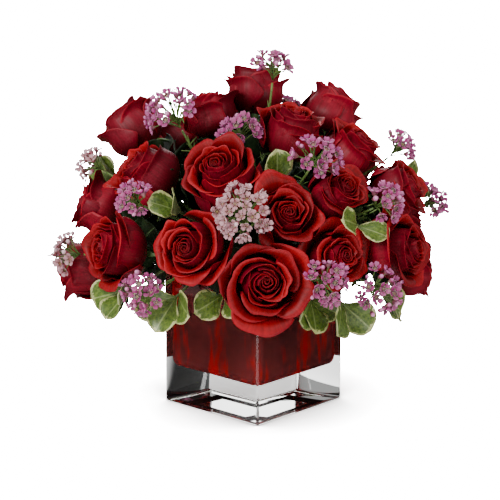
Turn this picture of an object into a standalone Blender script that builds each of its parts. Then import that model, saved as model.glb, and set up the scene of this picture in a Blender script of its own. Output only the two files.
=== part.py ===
"""Roses in a vase: short-cut roses, waxflower and variegated pittosporum in a square ruby-lined glass vase.

Metres, +Z up. The origin is the centre of the vase's flat underside, and the vase's faces look along X and Y.
Every cut stem is one solid from its foot on the vase floor to its bloom, flower cluster or leaves.
"""

import math

import bmesh
import bpy
from mathutils import Vector

MM = 0.001

# ---- vase -------------------------------------------------------------------------------------------------
VASE_HALF = 51.0 * MM  # outside, face to centre: a 102 mm (4 inch) square vase
VASE_HEIGHT = 112.0 * MM
WALL = 4.5 * MM
BASE_THICK = 30.0 * MM  # solid clear glass under the ruby cup
EDGE = 1.0 * MM  # the small softening of the outer glass edges
EDGE_CORNER = 1.6 * MM  # plan radius of the outer upright edges
LINING_GAP = 0.3 * MM
LINING_WALL = 1.2 * MM
LINING_DROP = 1.5 * MM  # the ruby stops this far under the rim
CUP_CORNER = 6.0 * MM  # plan radius of the cup's corners
CUP_FILLET = 7.0 * MM  # radius where the cup's walls meet its floor

# ---- layout -----------------------------------------------------------------------------------------------
MOUTH = Vector((0.0, 0.0, VASE_HEIGHT))  # every bloom faces straight away from here
MOUTH_SPREAD = 39.0 * MM  # how far from the middle the outermost stems cross the mouth
FOOT_SPREAD = 31.0 * MM  # the same at the vase floor
FLOOR_Z = BASE_THICK + LINING_GAP + LINING_WALL + 0.5 * MM
SPREAD_DEGREES = 96.0  # a head this far from upright would send its stem out by the whole spread

STEM_R = {"rose": 2.4 * MM, "wax": 1.1 * MM, "leaf": 1.4 * MM}
HIP_R = 4.6 * MM  # the swelling under a rose
STEM_SIDES = 6
STEM_RINGS = 10
STRAIGHT_TO = (0.5, 0.93)  # rings on the straight part of a stem, as fractions of the way from foot to mouth
RISE_ABOVE_RIM = 12.0 * MM  # a stem runs on straight this far before it bends over
ARCH = 0.42  # how far a stem's curve pulls, as a fraction of its reach
LOW_ANGLE = 24.0  # heads lower than this arch higher over the rim, by the three lengths below
LOW_RISE, LOW_AHEAD, LOW_BACK = 10.0 * MM, 6.0 * MM, 16.0 * MM
BLOOM_SIDES = 12

# Each row: azimuth from -Y towards +X, elevation above the mouth, reach of the widest ring (mm), width (mm).
ROSES = [
    (46, 7, 124, 66),
    (19, 19, 124, 60),
    (25, 49, 120, 66),
    (95, 72, 124, 60),
    (165, 58, 146, 58),
    (-72, 72, 132, 52),
    (-137, 73, 148, 56),
    (-64, 46, 154, 60),
    (-32, 42, 122, 62),
    (-52, 20, 138, 54),
    (-19, 12, 128, 60),
    (-52, -3, 144, 58),
    (57, 32, 120, 52),
    (83, 38, 126, 50),
    (126, 51, 128, 52),
    (118, 30, 139, 54),
    (75, 15, 122, 50),
    (101, 13, 138, 60),
    (172, 36, 128, 60),
    (-128, 50, 132, 60),
    (148, 20, 130, 58),
    (178, 10, 128, 60),
    (-154, 24, 130, 60),
    (-122, 16, 128, 60),
    (-88, 12, 132, 58),
    (-96, 40, 136, 56),
    (136, -2, 132, 52),
]
# Waxflower sprigs: azimuth, elevation, reach of the cluster's middle, cluster width.
WAXFLOWERS = [
    (-24, 62, 148, 38),
    (-48, 33, 152, 24),
    (-6, 30, 140, 24),
    (-38, 6, 150, 26),
    (2, 1, 128, 30),
    (39, 29, 146, 38),
    (70, 46, 146, 32),
    (150, 84, 162, 28),
    (141, 38, 152, 26),
    (27, 72, 122, 28),
    (92, 28, 148, 26),
    (132, 20, 152, 24),
    (64, 8, 146, 28),
    (83, 3, 144, 34),
    (-160, 60, 134, 28),
    (-160, 46, 136, 24),
    (-104, -2, 132, 30),
    (158, 2, 134, 28),
]
# Pittosporum sprigs: azimuth, elevation, reach of the leaf whorl's base, then each leaf's roll about the stem
# (0 is sideways, 90 upwards), its lean off the stem and its length.
PITTOSPORUMS = [
    (8, -2, 104, ((-165, 48, 32), (-105, 40, 30), (-18, 45, 28))),
    (-14, -2, 116, ((-160, 45, 30), (-90, 35, 28), (-15, 35, 26))),
    (28, -1, 90, ((-150, 40, 26), (-30, 40, 24))),
    (70, -4, 96, ((-165, 42, 30), (-110, 36, 28), (-28, 42, 24))),
    (82, -5, 106, ((-140, 45, 30), (-50, 45, 30))),
    (2, 34, 104, ((-160, 22, 26), (30, 16, 26))),
    (-60, 30, 130, ((200, 20, 28), (110, 16, 28))),
    (134, 28, 130, ((45, 28, 28), (-50, 28, 28))),
    (58, 50, 100, ((100, 14, 30), (-120, 12, 26))),
    (-158, -6, 104, ((-140, 45, 32), (-90, 50, 32), (-30, 45, 30))),
    (120, -8, 104, ((-130, 45, 30), (-50, 45, 30))),
    (-72, -6, 104, ((-140, 45, 30), (-60, 45, 30))),
    (84, 24, 130, ((168, 60, 26), (-50, 45, 24))),
]

# Bloom profile of a rose, in widths: along the axis from the widest ring, radius, lobe depth.
ROSE_PROFILE = [
    (-0.40, 0.23, 0.00),
    (-0.20, 0.40, 0.03),
    (-0.02, 0.50, 0.07),
    (0.02, 0.43, 0.07),
    (-0.04, 0.35, 0.00),
    (0.10, 0.28, 0.08),
    (0.05, 0.19, 0.00),
    (0.16, 0.10, 0.08),
]
ROSE_APEX = 0.19
CLUSTER_PROFILE = [
    (-0.34, 0.27, 0.06),
    (-0.10, 0.47, 0.08),
    (0.12, 0.48, 0.08),
    (0.30, 0.30, 0.08),
]
CLUSTER_APEX = 0.40
NECK = 0.14  # from the top of the stem to the start of either profile
OUTER_RINGS = 4  # the rings of a rose above these turn, each by half a petal more than the one below

MATERIALS = {
    "clear_glass": ((0.86, 0.88, 0.84, 1.0), 0.03, 0.0),
    "ruby_glass": ((0.20, 0.006, 0.008, 1.0), 0.08, 0.0),
    "rose_red": ((0.38, 0.010, 0.014, 1.0), 0.62, 0.0),
    "waxflower_pink": ((0.50, 0.20, 0.42, 1.0), 0.55, 0.0),
    "pittosporum_green": ((0.16, 0.24, 0.06, 1.0), 0.45, 0.0),
}


def clear_scene():
    for obj in list(bpy.data.objects):
        bpy.data.objects.remove(obj, do_unlink=True)


def material(name):
    made = bpy.data.materials.get(name)
    if made:
        return made
    colour, roughness, metallic = MATERIALS[name]
    made = bpy.data.materials.new(name)
    made.use_nodes = True
    shader = made.node_tree.nodes["Principled BSDF"]
    shader.inputs["Base Color"].default_value = colour
    shader.inputs["Roughness"].default_value = roughness
    shader.inputs["Metallic"].default_value = metallic
    made.diffuse_color = colour
    return made


def add_object(name, bm, material_name, smooth=True):
    """Turns a closed bmesh into a named object with faces outward."""
    bmesh.ops.recalc_face_normals(bm, faces=bm.faces)
    mesh = bpy.data.meshes.new(name)
    bm.to_mesh(mesh)
    bm.free()
    obj = bpy.data.objects.new(name, mesh)
    bpy.context.scene.collection.objects.link(obj)
    mesh.materials.append(material(material_name))
    for polygon in mesh.polygons:
        polygon.use_smooth = smooth
    return obj


def add_ring(bm, points):
    return [bm.verts.new(p) for p in points]


def bridge(bm, low, high):
    """Faces between two rings. The upper may have twice as many points as the lower."""
    n, ratio = len(low), len(high) // len(low)
    for i in range(n):
        j = (i + 1) % n
        upper = [high[(ratio * i + k) % len(high)] for k in range(ratio + 1)]
        if ratio == 1:
            bm.faces.new([low[i], low[j], upper[1], upper[0]])
        else:
            bm.faces.new([low[i], upper[1], upper[0]])
            bm.faces.new([low[i], low[j], upper[1]])
            bm.faces.new([low[j], upper[2], upper[1]])


def fan(bm, ring, point):
    tip = bm.verts.new(point)
    for i in range(len(ring)):
        bm.faces.new([ring[i], ring[(i + 1) % len(ring)], tip])


# ---- vase -------------------------------------------------------------------------------------------------
def rounded_square(half, radius, z, steps=4):
    points = []
    for corner in range(4):
        start = corner * math.pi / 2
        centre = Vector((math.cos(start + math.pi / 4), math.sin(start + math.pi / 4))) * math.sqrt(2)
        centre *= half - radius
        for k in range(steps + 1):
            a = start + (math.pi / 2) * k / steps
            points.append((centre.x + radius * math.cos(a), centre.y + radius * math.sin(a), z))
    return points


def cup(name, outside, inside, material_name):
    """A closed cup from rings up the outside, over the rim and down the inside."""
    bm = bmesh.new()
    rings = [add_ring(bm, rounded_square(*row)) for row in outside + inside]
    for low, high in zip(rings, rings[1:]):
        bridge(bm, low, high)
    bm.faces.new(rings[0])
    bm.faces.new(rings[-1])
    add_object(name, bm, material_name, smooth=False)


def filleted(half, corner, floor, fillet, steps=3):
    """Rings (half, corner radius, z) from a flat floor up to where the walls are upright."""
    rows = []
    for k in range(steps + 1):
        a = (math.pi / 2) * k / steps
        inset = fillet * (1 - math.sin(a))
        rows.append((half - inset, max(corner - inset, 1.0 * MM), floor + fillet * (1 - math.cos(a))))
    return rows


def build_vase():
    cavity = VASE_HALF - WALL
    outside = [
        (VASE_HALF - EDGE, EDGE, 0.0),
        (VASE_HALF, EDGE_CORNER, EDGE),
        (VASE_HALF, EDGE_CORNER, VASE_HEIGHT - EDGE),
        (VASE_HALF - EDGE, EDGE, VASE_HEIGHT),
    ]
    lip = [(cavity + EDGE, CUP_CORNER + EDGE, VASE_HEIGHT), (cavity, CUP_CORNER, VASE_HEIGHT - EDGE)]
    cup("vase_glass", outside, lip + filleted(cavity, CUP_CORNER, BASE_THICK, CUP_FILLET)[::-1], "clear_glass")

    shell = cavity - LINING_GAP
    top = VASE_HEIGHT - LINING_DROP
    outer = filleted(shell, CUP_CORNER - LINING_GAP, BASE_THICK + LINING_GAP, CUP_FILLET - LINING_GAP)
    outer.append((shell, CUP_CORNER - LINING_GAP, top))
    inner_half, inner_corner = shell - LINING_WALL, CUP_CORNER - LINING_GAP - LINING_WALL
    inner = [(inner_half, inner_corner, top)]
    floor = BASE_THICK + LINING_GAP + LINING_WALL
    inner += filleted(inner_half, inner_corner, floor, CUP_FILLET - LINING_GAP - LINING_WALL)[::-1]
    cup("ruby_lining", outer, inner, "ruby_glass")


# ---- stems ------------------------------------------------------------------------------------------------
def direction(azimuth, elevation):
    a, e = math.radians(azimuth), math.radians(elevation)
    return Vector((math.sin(a) * math.cos(e), -math.cos(a) * math.cos(e), math.sin(e)))


def spread(azimuth, elevation, reach):
    """Where a head in this direction sends its stem through a level of the vase. Neighbours stay neighbours."""
    out = reach * (90 - elevation) / SPREAD_DEGREES
    a = math.radians(azimuth)
    return Vector((math.sin(a) * out, -math.cos(a) * out, 0.0))


def bezier(a, b, c, d, t):
    u = 1 - t
    return a * u**3 + b * 3 * u * u * t + c * 3 * u * t * t + d * t**3


def stem_path(azimuth, elevation, base, axis):
    """Points from the foot, up through the mouth and over to the base of the head."""
    foot = spread(azimuth, elevation, FOOT_SPREAD) + Vector((0, 0, FLOOR_Z))
    mouth = spread(azimuth, elevation, MOUTH_SPREAD) + MOUTH
    rise = (mouth - foot).normalized()
    low = max(0.0, math.sin(math.radians(LOW_ANGLE - elevation)))
    over = mouth + rise * (RISE_ABOVE_RIM + LOW_RISE * low)
    reach = (base - over).length
    back = base - axis * (ARCH * reach) + Vector((0, 0, LOW_BACK * low))
    ahead = mouth + rise * (ARCH * reach + LOW_AHEAD * low)
    points = [foot] + [foot.lerp(mouth, t) for t in STRAIGHT_TO]
    count = STEM_RINGS - len(points)
    start = points[-1]
    for k in range(1, count + 1):
        points.append(bezier(start, ahead, back, base, k / count))
    return points


def frames(points, last_axis):
    """A tangent and one side vector per point, carried along the path without twist."""
    tangents = []
    for i in range(len(points)):
        a, b = points[max(i - 1, 0)], points[min(i + 1, len(points) - 1)]
        tangents.append((b - a).normalized())
    tangents[0] = Vector((0, 0, 1))
    tangents[-1] = (tangents[-1] + last_axis).normalized()
    side = Vector((1, 0, 0))
    made = []
    for tangent in tangents:
        side = (side - tangent * side.dot(tangent)).normalized()
        made.append((tangent, side))
    return made


def circle(centre, axis, side, radius, sides, lobe=0.0, twist=0.0):
    other = axis.cross(side)
    points = []
    for i in range(sides):
        a = 2 * math.pi * i / sides + twist
        r = radius * (1 - lobe * (i % 2))
        points.append(centre + side * (math.cos(a) * r) + other * (math.sin(a) * r))
    return points


def stem_rings(bm, points, last_axis, radius):
    made = frames(points, last_axis)
    rings = [add_ring(bm, circle(p, t, s, radius, STEM_SIDES)) for p, (t, s) in zip(points, made)]
    for low, high in zip(rings, rings[1:]):
        bridge(bm, low, high)
    bm.faces.new(rings[0])
    return rings[-1], made[-1][1]


def flower(name, row, kind, profile, apex, material_name):
    azimuth, elevation, reach, width = row
    axis = direction(azimuth, elevation)
    widest = MOUTH + axis * (reach * MM)
    width *= MM
    base = widest + axis * (profile[0][0] - NECK) * width
    bm = bmesh.new()
    points = stem_path(azimuth, elevation, base, axis)
    ring, side = stem_rings(bm, points, axis, STEM_R[kind])
    side = (side - axis * side.dot(axis)).normalized()
    sides = BLOOM_SIDES if kind == "rose" else STEM_SIDES
    if kind == "rose":
        hip = widest + axis * (profile[0][0] - 0.5 * NECK) * width
        calyx = add_ring(bm, circle(hip, axis, side, HIP_R, STEM_SIDES))
        bridge(bm, ring, calyx)
        ring = calyx
    for k, (along, radius, lobe) in enumerate(profile):
        centre = widest + axis * (along * width)
        twist = math.pi / (2 * sides) * max(0, k - OUTER_RINGS + 1)
        upper = add_ring(bm, circle(centre, axis, side, radius * width, sides, lobe, twist))
        bridge(bm, ring, upper)
        ring = upper
    fan(bm, ring, widest + axis * (apex * width))
    add_object(name, bm, material_name)


# ---- leaves -----------------------------------------------------------------------------------------------
LEAF_WIDTHS = ((0.0, 0.6), (0.28, 2.0), (0.55, 6.6), (0.80, 7.2), (0.95, 3.6))  # along, half width in mm
LEAF_LENGTH = 30.0  # the length in mm that those widths are for
LEAF_THICK = 0.45 * MM  # half thickness at the midrib
STALK_THICK = 0.6 * MM  # the same where the blade is narrower than STALK_HALF
STALK_HALF = 0.8 * MM
LEAF_ARCH = 0.10  # how far the tip falls, as a fraction of the length
LEAF_STEP = 1.3 * MM  # each leaf of a whorl starts this much further down the stem than the last
LEAF_SINK = 1.0 * MM  # and the first starts this far inside the stem's end
LEAF_ROOT = 0.4 * MM  # how far a blade reaches back past the stem's centre line
TWIG_TIP = 2.0 * MM


def leaf_blade(bm, start, along, normal, length):
    """A closed obovate blade, slightly arched away from its normal."""
    across = along.cross(normal).normalized()
    scale = length / LEAF_LENGTH
    ring = None
    for t, half in LEAF_WIDTHS:
        centre = start + along * (t * length * MM) - normal * (LEAF_ARCH * length * MM * t * t)
        half *= scale * MM
        thick = min(LEAF_THICK, 0.7 * half) if half > STALK_HALF else STALK_THICK
        row = [centre - across * half, centre + normal * thick, centre + across * half, centre - normal * thick]
        upper = add_ring(bm, row)
        if ring:
            bridge(bm, ring, upper)
        else:
            bm.faces.new(upper[::-1])
        ring = upper
    tip = start + along * (length * MM) - normal * (LEAF_ARCH * length * MM)
    fan(bm, ring, tip)


def union(target, others):
    for other in others:
        other.hide_render = True
        other.display_type = "WIRE"
        modifier = target.modifiers.new("join_" + other.name, "BOOLEAN")
        modifier.operation = "UNION"
        modifier.solver = "EXACT"
        modifier.object = other


def pittosporum(name, row):
    azimuth, elevation, reach, leaves = row
    axis = direction(azimuth, elevation)
    base = MOUTH + axis * (reach * MM)
    bm = bmesh.new()
    ring, _ = stem_rings(bm, stem_path(azimuth, elevation, base, axis), axis, STEM_R["leaf"])
    fan(bm, ring, base + axis * TWIG_TIP)
    sprig = add_object(name, bm, "pittosporum_green")
    level = Vector((0, 0, 1)).cross(axis).normalized()
    upright = axis.cross(level)
    blades = []
    for k, (roll, lean, length) in enumerate(leaves):
        a, b = math.radians(roll), math.radians(lean)
        out = level * math.cos(a) + upright * math.sin(a)
        along = axis * math.cos(b) + out * math.sin(b)
        normal = (axis - along * axis.dot(along)).normalized()
        start = base - axis * (LEAF_SINK + LEAF_STEP * k) - along * LEAF_ROOT
        bm = bmesh.new()
        leaf_blade(bm, start, along, normal, length)
        blades.append(add_object(f"{name}_blade_{k + 1}", bm, "pittosporum_green"))
    union(sprig, blades)


def build():
    clear_scene()
    build_vase()
    for k, row in enumerate(ROSES, 1):
        flower(f"rose_{k:02d}", row, "rose", ROSE_PROFILE, ROSE_APEX, "rose_red")
    for k, row in enumerate(WAXFLOWERS, 1):
        flower(f"waxflower_{k:02d}", row, "wax", CLUSTER_PROFILE, CLUSTER_APEX, "waxflower_pink")
    for k, row in enumerate(PITTOSPORUMS, 1):
        pittosporum(f"pittosporum_{k:02d}", row)


build()
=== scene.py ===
"""Looks for the roses in a vase: petals, waxflower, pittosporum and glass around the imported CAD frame."""

import math

import bpy
import numpy as np
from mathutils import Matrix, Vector


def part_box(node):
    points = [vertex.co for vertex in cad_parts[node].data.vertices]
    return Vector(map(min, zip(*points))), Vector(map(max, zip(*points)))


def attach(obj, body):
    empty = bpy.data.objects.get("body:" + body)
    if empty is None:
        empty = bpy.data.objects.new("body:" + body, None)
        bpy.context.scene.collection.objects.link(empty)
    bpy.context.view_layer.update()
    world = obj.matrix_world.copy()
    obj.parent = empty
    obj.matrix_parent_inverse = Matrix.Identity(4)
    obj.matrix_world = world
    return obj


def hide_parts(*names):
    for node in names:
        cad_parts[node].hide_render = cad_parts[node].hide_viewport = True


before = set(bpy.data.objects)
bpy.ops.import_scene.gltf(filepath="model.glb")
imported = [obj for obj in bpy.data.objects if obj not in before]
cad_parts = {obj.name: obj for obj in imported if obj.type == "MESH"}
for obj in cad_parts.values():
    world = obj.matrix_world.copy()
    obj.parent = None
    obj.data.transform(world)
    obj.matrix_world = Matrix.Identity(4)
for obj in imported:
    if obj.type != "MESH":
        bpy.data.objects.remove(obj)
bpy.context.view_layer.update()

MM = 0.001
GOLDEN = math.radians(137.508)

# ---- the frame's sizes ------------------------------------------------------------------------------------
VASE_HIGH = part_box("vase_glass")[1]
RUBY_LOW, RUBY_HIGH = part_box("ruby_lining")
MOUTH = Vector((0.0, 0.0, VASE_HIGH.z))  # every head faces straight away from here
ROSE_APEX, ROSE_HALF = 0.19, 0.50  # the CAD rose: apex past its widest ring, its radius, in widths
CLUSTER_APEX, CLUSTER_HALF = 0.40, 0.48  # the same for a CAD waxflower cluster
MOUTH_SPREAD, FOOT_SPREAD = 39 * MM, 31 * MM  # as in the CAD: how wide the stems stand at two levels
FOOT_GAP = 2.0 * MM  # a stem's foot above the lining's underside
LEAN_RANGE = 96  # degrees from upright at which a stem stands at the full spread
RISE_ABOVE_RIM = 12 * MM  # a stem runs on straight this far before it bends over
ARCH = 0.42  # how far a stem's curve pulls, as a fraction of its reach
LOW_ANGLE = 24  # heads lower than this arch higher over the rim, by the three lengths below
LOW_RISE, LOW_AHEAD, LOW_BACK = 10 * MM, 6 * MM, 16 * MM
BEND_START = 0.93  # where the bend starts, from the foot to the mouth

# Each pittosporum sprig's leaves, as in the CAD: roll about the stem, lean off it, length in mm.
SPRIG_LEAVES = [
    ((-165, 48, 32), (-105, 40, 30), (-18, 45, 28)),
    ((-160, 45, 30), (-90, 35, 28), (-15, 35, 26)),
    ((-150, 40, 26), (-30, 40, 24)),
    ((-165, 42, 30), (-110, 36, 28), (-28, 42, 24)),
    ((-140, 45, 30), (-50, 45, 30)),
    ((-160, 22, 26), (30, 16, 26)),
    ((200, 20, 28), (110, 16, 28)),
    ((45, 28, 28), (-50, 28, 28)),
    ((100, 14, 30), (-120, 12, 26)),
    ((-140, 45, 32), (-90, 50, 32), (-30, 45, 30)),
    ((-130, 45, 30), (-50, 45, 30)),
    ((-140, 45, 30), (-60, 45, 30)),
    ((168, 60, 26), (-50, 45, 24)),
]
# Where each sprig's whorl starts, as in the CAD: azimuth, elevation and reach from the vase's mouth in mm.
SPRIG_AIM = [
    (8, -2, 104), (-14, -2, 116), (28, -1, 90), (70, -4, 96), (82, -5, 106), (2, 34, 104), (-60, 30, 130),
    (134, 28, 130), (58, 50, 100), (-158, -6, 104), (120, -8, 104), (-72, -6, 104), (84, 24, 130),
]


# ---- shader helpers ---------------------------------------------------------------------------------------
class Nodes:
    """The node tree of a material or a world, with short calls for the nodes used here."""

    def __init__(self, owner):
        owner.use_nodes = True
        self.tree = owner.node_tree
        self.tree.nodes.clear()

    def node(self, kind, inputs=(), **settings):
        made = self.tree.nodes.new(kind)
        for key, value in settings.items():
            setattr(made, key, value)
        for key, value in dict(inputs).items():
            self.give(made.inputs[key], value)
        return made

    def give(self, socket, value):
        if isinstance(value, bpy.types.NodeSocket):
            self.tree.links.new(value, socket)
        else:
            socket.default_value = value

    def attribute(self, name):
        return self.node("ShaderNodeAttribute", attribute_name=name).outputs["Fac"]

    def math(self, operation, a, b=0.0, clamp=False):
        made = self.node("ShaderNodeMath", operation=operation, use_clamp=clamp)
        self.give(made.inputs[0], a)
        self.give(made.inputs[1], b)
        return made.outputs[0]

    def ramp(self, value, *stops):
        """A colour ramp over (position, colour) stops."""
        made = self.node("ShaderNodeValToRGB", {"Fac": value})
        elements = made.color_ramp.elements
        while len(elements) < len(stops):
            elements.new(0.5)
        for element, (position, colour) in zip(elements, stops):
            element.position = position
            element.color = (*colour, 1.0) if len(colour) == 3 else colour
        return made.outputs["Color"]

    def between(self, value, low, high):
        """0 to 1 as value goes from low to high."""
        made = self.node("ShaderNodeMapRange", interpolation_type="SMOOTHSTEP")
        for n, v in enumerate((value, low, high)):
            self.give(made.inputs[n], v)
        return made.outputs["Result"]

    def mix(self, factor, a, b, blend="MIX"):
        made = self.node("ShaderNodeMix", data_type="RGBA", blend_type=blend)
        for socket, value in zip((made.inputs[0], made.inputs[6], made.inputs[7]), (factor, a, b)):
            self.give(socket, (*value, 1.0) if isinstance(value, tuple) and len(value) == 3 else value)
        return made.outputs[2]

    def vector(self, x, y, z):
        made = self.node("ShaderNodeCombineXYZ")
        for n, value in enumerate((x, y, z)):
            self.give(made.inputs[n], value)
        return made.outputs[0]

    def noise(self, vector, scale, detail=2.0, roughness=0.5):
        inputs = {"Vector": vector, "Scale": scale, "Detail": detail, "Roughness": roughness}
        return self.node("ShaderNodeTexNoise", inputs).outputs["Fac"]

    def object_place(self):
        return self.node("ShaderNodeTexCoord").outputs["Object"]

    def bump(self, height, distance, strength=1.0):
        inputs = {"Height": height, "Distance": distance, "Strength": strength}
        return self.node("ShaderNodeBump", inputs).outputs["Normal"]

    def principled(self, **inputs):
        named = {key.replace("_", " "): value for key, value in inputs.items()}
        return self.node("ShaderNodeBsdfPrincipled", named).outputs["BSDF"]

    def leafy(self, surface, colour, normal, amount):
        """Lets some light through a thin petal or leaf."""
        through = self.node("ShaderNodeBsdfTranslucent", {"Color": colour, "Normal": normal}).outputs[0]
        return self.node("ShaderNodeMixShader", {0: amount, 1: surface, 2: through}).outputs[0]


class Shader(Nodes):
    """A new material."""

    def __init__(self, name):
        self.material = bpy.data.materials.new(name)
        super().__init__(self.material)
        self.output = self.node("ShaderNodeOutputMaterial")

    def finish(self, surface):
        self.tree.links.new(surface, self.output.inputs["Surface"])
        return self.material


def petal_material():
    s = Shader("rose_petal")
    across, along, side = s.attribute("across"), s.attribute("along"), s.attribute("side")
    tone, order = s.attribute("tone"), s.attribute("order")
    place = s.vector(s.math("MULTIPLY", across, 16.0), s.math("MULTIPLY", along, 2.2), tone)
    veins = s.noise(place, 1.0, 4.0)
    cloud = s.noise(s.object_place(), 52.0, 2.0)
    face = s.ramp(
        s.math("ADD", s.math("MULTIPLY", veins, 0.5), s.math("MULTIPLY", cloud, 0.5)),
        (0.30, (0.145, 0.0008, 0.0018)),
        (0.70, (0.440, 0.0042, 0.0090)),
    )
    back = s.mix(veins, (0.110, 0.0009, 0.0035), (0.350, 0.0042, 0.0260))
    colour = s.mix(side, back, face)
    # painted highlight: the petals' lips and side edges are lighter and pinker, standing in for light
    # catching their rolled edges
    rim = s.math("MAXIMUM", s.between(along, 0.90, 1.0), s.between(s.math("ABSOLUTE", across), 0.86, 1.0))
    colour = s.mix(s.math("MULTIPLY", rim, 0.35), colour, (0.560, 0.0120, 0.0300))
    # painted shade: the petals darken towards their base, standing in for the shade in the crevices between
    # them
    deep = s.math("MULTIPLY", s.between(along, 0.72, 0.15), 0.75)
    colour = s.mix(deep, colour, (0.030, 0.0003, 0.0006))
    # painted shade: the innermost petals darken, standing in for the shade at the middle of the bloom
    heart = s.math("MULTIPLY", s.between(order, 0.40, 0.05), 0.30)
    colour = s.mix(heart, colour, (0.080, 0.0006, 0.0016))
    tint = s.mix(tone, (0.68, 0.66, 0.72), (1.28, 1.30, 1.20))
    colour = s.mix(1.0, colour, tint, "MULTIPLY")
    grain = s.math("MULTIPLY", s.noise(s.object_place(), 900.0), 0.25)
    normal = s.bump(s.math("ADD", veins, grain), 0.0005, 0.5)
    surface = s.principled(
        Base_Color=colour,
        Roughness=s.math("ADD", s.math("MULTIPLY", cloud, 0.14), 0.40),
        Specular_IOR_Level=0.22,
        Sheen_Weight=0.06,
        Sheen_Roughness=0.30,
        Sheen_Tint=(1.0, 0.04, 0.08, 1.0),
        Normal=normal,
    )
    return s.finish(s.leafy(surface, colour, normal, 0.14))


def wax_petal_material(name, pale):
    s = Shader(name)
    along, side, tone = s.attribute("along"), s.attribute("side"), s.attribute("tone")
    veins = s.noise(s.vector(s.math("MULTIPLY", s.attribute("across"), 6.0), along, tone), 1.5, 3.0)
    inner = (0.16, 0.020, 0.010) if pale else (0.060, 0.001, 0.014)
    outer = (0.86, 0.56, 0.60) if pale else (0.60, 0.040, 0.300)
    tip = (1.0, 0.86, 0.88) if pale else (1.0, 0.36, 0.70)
    colour = s.ramp(along, (0.16, inner), (0.50, outer), (1.0, tip))
    vein_colour = (0.66, 0.24, 0.24) if pale else (0.40, 0.02, 0.20)
    colour = s.mix(s.math("MULTIPLY", veins, 0.40), colour, vein_colour)
    colour = s.mix(s.math("MULTIPLY", tone, 0.30), colour, (1.0, 0.66, 0.84))
    reverse = (0.42, 0.16, 0.18) if pale else (0.30, 0.015, 0.13)
    colour = s.mix(s.math("MULTIPLY", side, 0.65), colour, reverse)
    normal = s.bump(veins, 0.0003, 0.5)
    surface = s.principled(
        Base_Color=colour,
        Roughness=0.38,
        Specular_IOR_Level=0.5,
        Coat_Weight=0.10,
        Coat_Roughness=0.25,
        Normal=normal,
    )
    return s.finish(s.leafy(surface, colour, normal, 0.22))


def wax_cup_material(name, rim, heart):
    s = Shader(name)
    along, tone = s.attribute("along"), s.attribute("tone")
    colour = s.ramp(
        along,
        (0.0, (0.14, 0.20, 0.06)),
        (0.45, (0.26, 0.07, 0.10)),
        (0.62, rim),
        (0.80, heart),
        (0.97, (0.40, 0.36, 0.10)),
    )
    colour = s.mix(s.math("MULTIPLY", s.noise(s.object_place(), 1200.0), 0.5), colour, (0.05, 0.008, 0.02))
    colour = s.mix(s.math("MULTIPLY", tone, 0.25), colour, (0.40, 0.10, 0.16))
    surface = s.principled(Base_Color=colour, Roughness=0.32, Specular_IOR_Level=0.5)
    return s.finish(surface)


def green_material(name, low, high, roughness):
    s = Shader(name)
    cloud = s.noise(s.object_place(), 220.0, 3.0)
    colour = s.ramp(cloud, (0.30, low), (0.72, high))
    colour = s.mix(s.math("MULTIPLY", s.attribute("tone"), 0.35), colour, high)
    normal = s.bump(s.noise(s.object_place(), 1500.0), 0.0002, 0.5)
    surface = s.principled(Base_Color=colour, Roughness=roughness, Specular_IOR_Level=0.45, Normal=normal)
    return s.finish(s.leafy(surface, colour, normal, 0.10))


def leaf_material():
    s = Shader("pittosporum_leaf")
    across, along, side = s.attribute("across"), s.attribute("along"), s.attribute("side")
    tone = s.attribute("tone")
    stretched = (s.math("MULTIPLY", value, by) for value, by in ((across, 1.6), (along, 3.2), (tone, 9.0)))
    place = s.vector(*stretched)
    ragged = s.math("MULTIPLY", s.math("SUBTRACT", s.noise(place, 2.2, 4.0, 0.65), 0.5), 0.75)
    edge = s.math("MAXIMUM", s.math("ABSOLUTE", across), s.between(along, 0.55, 1.02))
    margin = s.between(s.math("ADD", edge, ragged), 0.80, 0.92)
    blotch = s.noise(place, 3.4, 5.0, 0.6)
    greens = (0.30, (0.050, 0.095, 0.012)), (0.52, (0.125, 0.200, 0.026)), (0.74, (0.240, 0.330, 0.060))
    green = s.ramp(blotch, *greens)
    cream = s.ramp(blotch, (0.30, (0.50, 0.54, 0.14)), (0.70, (0.80, 0.79, 0.40)))
    colour = s.mix(margin, green, cream)
    rib = s.between(s.math("ABSOLUTE", across), 0.075, 0.02)
    colour = s.mix(s.math("MULTIPLY", rib, 0.55), colour, (0.46, 0.55, 0.20))
    sweep = s.math("MULTIPLY", s.math("ABSOLUTE", across), 9.0)
    slant = s.math("SUBTRACT", s.math("MULTIPLY", along, 26.0), sweep)
    vein = s.between(s.math("ABSOLUTE", s.math("SINE", slant)), 0.16, 0.02)
    colour = s.mix(s.math("MULTIPLY", vein, 0.28), colour, (0.30, 0.42, 0.14))
    colour = s.mix(s.math("MULTIPLY", side, 0.45), colour, (0.36, 0.44, 0.22))
    height = s.math("ADD", s.math("MULTIPLY", vein, -0.5), s.math("MULTIPLY", blotch, 0.6))
    normal = s.bump(height, 0.0006, 0.6)
    surface = s.principled(
        Base_Color=colour,
        Roughness=0.34,
        Specular_IOR_Level=0.5,
        Coat_Weight=0.12,
        Coat_Roughness=0.2,
        Normal=normal,
    )
    return s.finish(s.leafy(surface, colour, normal, 0.16))


def lets_light_through(s, surface, tint):
    """Shadow rays pass the glass, so what is behind and under it is lit."""
    clear = s.node("ShaderNodeBsdfTransparent", {"Color": (*tint, 1.0)}).outputs[0]
    shadow = s.node("ShaderNodeLightPath").outputs["Is Shadow Ray"]
    return s.node("ShaderNodeMixShader", {0: shadow, 1: surface, 2: clear}).outputs[0]


FOOT_RECESS = 0.5 * MM  # the underside stands this clear of the table inside its rim
UNDERSIDE_SHADE_BAND = (24.0 * MM, 36.0 * MM)  # a near-black band of painted shade round the underside, from the middle


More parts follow.
